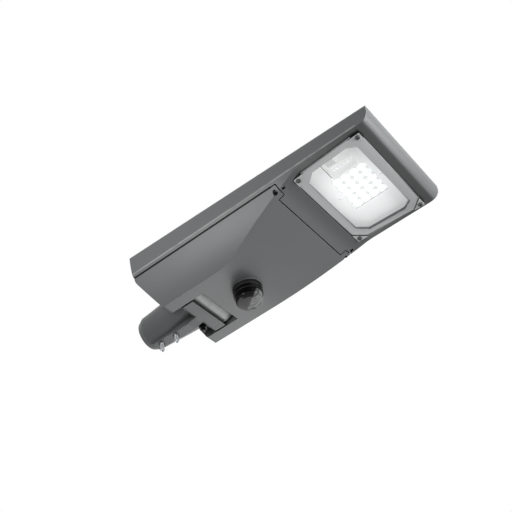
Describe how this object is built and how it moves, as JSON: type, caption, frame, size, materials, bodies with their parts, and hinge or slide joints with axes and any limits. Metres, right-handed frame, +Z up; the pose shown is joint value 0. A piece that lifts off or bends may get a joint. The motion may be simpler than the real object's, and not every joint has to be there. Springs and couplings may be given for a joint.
{
  "type": "led street light head",
  "caption": "Side-entry LED street light head: sloped die-cast body on a tilting arm socket, glass-covered lens array, hinged gear cover with a sensor socket.",
  "frame": {"origin": "centre of the arm socket's mouth", "axes": "+X from the arm to the light, +Z up, the light leaves along -Z, +Y to the left seen from the arm"},
  "size_m": [0.5685, 0.2436, 0.1328],
  "materials": {
    "anthracite_coat": "die-cast aluminium, fine satin anthracite powder coat",
    "zinc_steel": "zinc plated",
    "silicone": "moulded silicone",
    "glass": "toughened flat glass, printed border",
    "lens_acrylic": "clear moulded acrylic",
    "led_yellow": "phosphor cap",
    "board_white": "white solder mask",
    "grey_pad": "matt",
    "white_plastic": "matt white",
    "black_plastic": "moulded nylon",
    "grey_plastic": "moulded nylon",
    "driver_alloy": "plain sheet, satin",
    "bare_alloy": "bare, lightly blasted",
    "sensor_gloss": "polished black",
    "dome_clear": "smoked clear polycarbonate",
    "sensor_dark": "matt black"
  },
  "bodies": {
    "bracket": {"mounting_bracket": "anthracite_coat", "pivot_barrel": "bare_alloy", "barrel_screws": "zinc_steel", "clamp_screws": "zinc_steel", "tilt_lock_screw": "zinc_steel", "pivot_bolt": "zinc_steel", "pivot_nut": "zinc_steel"},
    "housing": {"board_connector": "black_plastic", "board_header": "white_plastic", "breather_valve": "black_plastic", "cable_gland": "black_plastic", "driver_screws": "zinc_steel", "gear_tray": "zinc_steel", "gland_nut": "black_plastic", "glass_clip_front_left": "bare_alloy", "glass_clip_front_right": "bare_alloy", "glass_clip_rear_left": "bare_alloy", "glass_clip_rear_right": "bare_alloy", "glass_cover": "glass", "glass_gasket": "silicone", "glass_screws": "zinc_steel", "hinge_pins": "zinc_steel", "lead_grommet": "silicone", "led_board": "board_white", "led_driver": "driver_alloy", "led_packages": "led_yellow", "lens_plate": "lens_acrylic", "reflector_screws": "zinc_steel", "reflector_tray": "white_plastic", "surge_protector": "black_plastic", "terminal_block": "grey_plastic", "thermal_pad": "grey_pad", "tray_screws": "zinc_steel", "upper_housing": "anthracite_coat"},
    "cover": {"gear_cover": "anthracite_coat", "cover_screws": "zinc_steel", "cover_gasket": "silicone", "sensor_gasket": "silicone", "sensor_receptacle": "black_plastic", "receptacle_nut": "black_plastic", "sensor_base": "sensor_gloss", "sensor_dome": "dome_clear", "sensor_core": "sensor_dark"}
  },
  "joints": [
    {"name": "head_tilt", "type": "hinge", "parent": "bracket", "child": "housing", "pos_m": [0.14, 0, 0], "axis": [0, 1, 0], "range_deg": [-15, 15]},
    {"name": "cover_hinge", "type": "hinge", "parent": "housing", "child": "cover", "pos_m": [0.071, 0, 0.0233], "axis": [0, 1, 0], "range_deg": [0, 75]}
  ]
}
